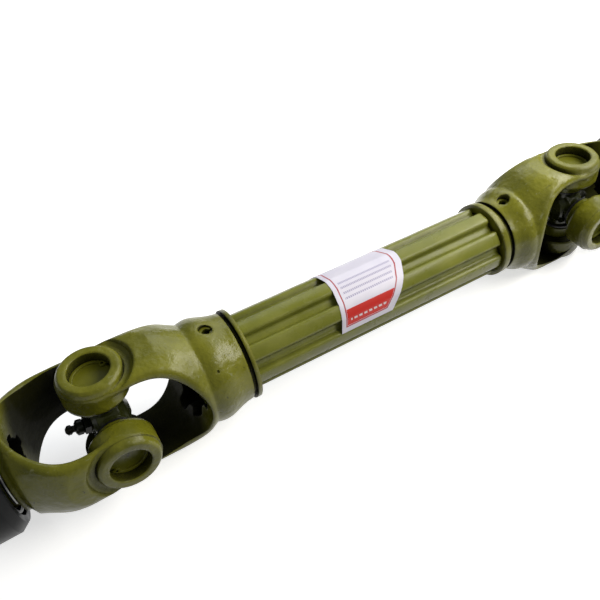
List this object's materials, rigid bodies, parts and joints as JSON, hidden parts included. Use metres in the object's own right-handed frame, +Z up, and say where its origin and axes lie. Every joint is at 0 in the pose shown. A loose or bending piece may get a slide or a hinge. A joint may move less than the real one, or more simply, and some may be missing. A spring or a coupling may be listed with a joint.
{
  "type": "pto drive shaft",
  "caption": "Telescoping cardan drive shaft with star-section tubes, universal joints and splined end yokes with sliding locking collars.",
  "frame": {"origin": "on the floor under the middle of the pushed-together shaft, below the mid-point between the two cross centres", "axes": "+X along the tubes towards the inner tube's yoke, +Z up along the inner yokes' pins, +Y the horizontal cross direction"},
  "size_m": [0.6288, 0.093, 0.093],
  "materials": {
    "green_paint": "gloss",
    "black_steel": "satin",
    "bare_steel": "satin",
    "seal_rubber": "matte",
    "label_paper": "matte"
  },
  "bodies": {
    "outer_half": {"outer_tube": "green_paint", "inner_yoke_left": "green_paint", "spring_pin_left": "green_paint", "label": "label_paper", "bearing_cap_left_top": "green_paint", "bearing_cap_left_bottom": "green_paint", "needle_rollers_left_top": "bare_steel", "needle_rollers_left_bottom": "bare_steel", "snap_rings_left_inner_yoke": "green_paint"},
    "inner_half": {"inner_tube": "bare_steel", "inner_yoke_right": "green_paint", "spring_pin_right": "green_paint", "bearing_cap_right_top": "green_paint", "bearing_cap_right_bottom": "green_paint", "needle_rollers_right_top": "bare_steel", "needle_rollers_right_bottom": "bare_steel", "snap_rings_right_inner_yoke": "green_paint"},
    "cross_left": {"cross_left": "green_paint", "grease_nipple_left": "black_steel", "seal_left_top": "seal_rubber", "seal_left_bottom": "seal_rubber", "seal_left_front": "seal_rubber", "seal_left_back": "seal_rubber"},
    "end_left": {"end_yoke_left": "green_paint", "bearing_cap_left_front": "green_paint", "bearing_cap_left_back": "green_paint", "needle_rollers_left_front": "bare_steel", "needle_rollers_left_back": "bare_steel", "snap_rings_left_end_yoke": "green_paint", "collar_spring_left": "bare_steel", "collar_retaining_ring_left": "bare_steel"},
    "collar_left": {"release_collar_left": "black_steel"},
    "ball_left_1": {"locking_ball_left_1": "bare_steel"},
    "ball_left_2": {"locking_ball_left_2": "bare_steel"},
    "ball_left_3": {"locking_ball_left_3": "bare_steel"},
    "cross_right": {"cross_right": "green_paint", "grease_nipple_right": "black_steel", "seal_right_top": "seal_rubber", "seal_right_bottom": "seal_rubber", "seal_right_front": "seal_rubber", "seal_right_back": "seal_rubber"},
    "end_right": {"end_yoke_right": "green_paint", "bearing_cap_right_front": "green_paint", "bearing_cap_right_back": "green_paint", "needle_rollers_right_front": "bare_steel", "needle_rollers_right_back": "bare_steel", "snap_rings_right_end_yoke": "green_paint", "collar_spring_right": "bare_steel", "collar_retaining_ring_right": "bare_steel"},
    "collar_right": {"release_collar_right": "black_steel"},
    "ball_right_1": {"locking_ball_right_1": "bare_steel"},
    "ball_right_2": {"locking_ball_right_2": "bare_steel"},
    "ball_right_3": {"locking_ball_right_3": "bare_steel"}
  },
  "joints": [
    {"name": "telescope", "type": "slide", "parent": "outer_half", "child": "inner_half", "axis": [1, 0, 0], "range_m": [0, 0.11]},
    {"name": "left_inner_yoke_pivot", "type": "hinge", "parent": "outer_half", "child": "cross_left", "pos_m": [-0.20325, 0, 0.0465], "axis": [0, 0, 1], "range_deg": [-35, 35]},
    {"name": "left_end_yoke_pivot", "type": "hinge", "parent": "cross_left", "child": "end_left", "pos_m": [-0.20325, 0, 0.0465], "axis": [0, 1, 0], "range_deg": [-31.74, 38.26]},
    {"name": "left_collar_slide", "type": "slide", "parent": "end_left", "child": "collar_left", "axis": [0.9984, 0, 0.0568], "range_m": [0, 0.006], "stiffness_N_per_m": 3500, "springref_m": -0.006, "deforming": ["collar_spring_left"]},
    {"name": "left_ball_1_slide", "type": "slide", "parent": "end_left", "child": "ball_left_1", "axis": [0, 1, 0], "range_m": [0, 0.0024]},
    {"name": "left_ball_2_slide", "type": "slide", "parent": "end_left", "child": "ball_left_2", "axis": [0.0492, -0.5, -0.8646], "range_m": [0, 0.0024]},
    {"name": "left_ball_3_slide", "type": "slide", "parent": "end_left", "child": "ball_left_3", "axis": [-0.0492, -0.5, 0.8646], "range_m": [0, 0.0024]},
    {"name": "right_inner_yoke_pivot", "type": "hinge", "parent": "inner_half", "child": "cross_right", "pos_m": [0.20325, 0, 0.0465], "axis": [0, 0, 1], "range_deg": [-35, 35]},
    {"name": "right_end_yoke_pivot", "type": "hinge", "parent": "cross_right", "child": "end_right", "pos_m": [0.20325, 0, 0.0465], "axis": [0, 1, 0], "range_deg": [-38.26, 31.74]},
    {"name": "right_collar_slide", "type": "slide", "parent": "end_right", "child": "collar_right", "axis": [-0.9984, 0, 0.0568], "range_m": [0, 0.006], "stiffness_N_per_m": 3500, "springref_m": -0.006, "deforming": ["collar_spring_right"]},
    {"name": "right_ball_1_slide", "type": "slide", "parent": "end_right", "child": "ball_right_1", "axis": [0, -1, 0], "range_m": [0, 0.0024]},
    {"name": "right_ball_2_slide", "type": "slide", "parent": "end_right", "child": "ball_right_2", "axis": [-0.0492, 0.5, -0.8646], "range_m": [0, 0.0024]},
    {"name": "right_ball_3_slide", "type": "slide", "parent": "end_right", "child": "ball_right_3", "axis": [0.0492, 0.5, 0.8646], "range_m": [0, 0.0024]}
  ],
  "couplings": [
    {"joint": "left_ball_1_slide", "follows": "left_collar_slide", "ratio": 0.4},
    {"joint": "left_ball_2_slide", "follows": "left_collar_slide", "ratio": 0.4},
    {"joint": "left_ball_3_slide", "follows": "left_collar_slide", "ratio": 0.4},
    {"joint": "right_ball_1_slide", "follows": "right_collar_slide", "ratio": 0.4},
    {"joint": "right_ball_2_slide", "follows": "right_collar_slide", "ratio": 0.4},
    {"joint": "right_ball_3_slide", "follows": "right_collar_slide", "ratio": 0.4}
  ]
}
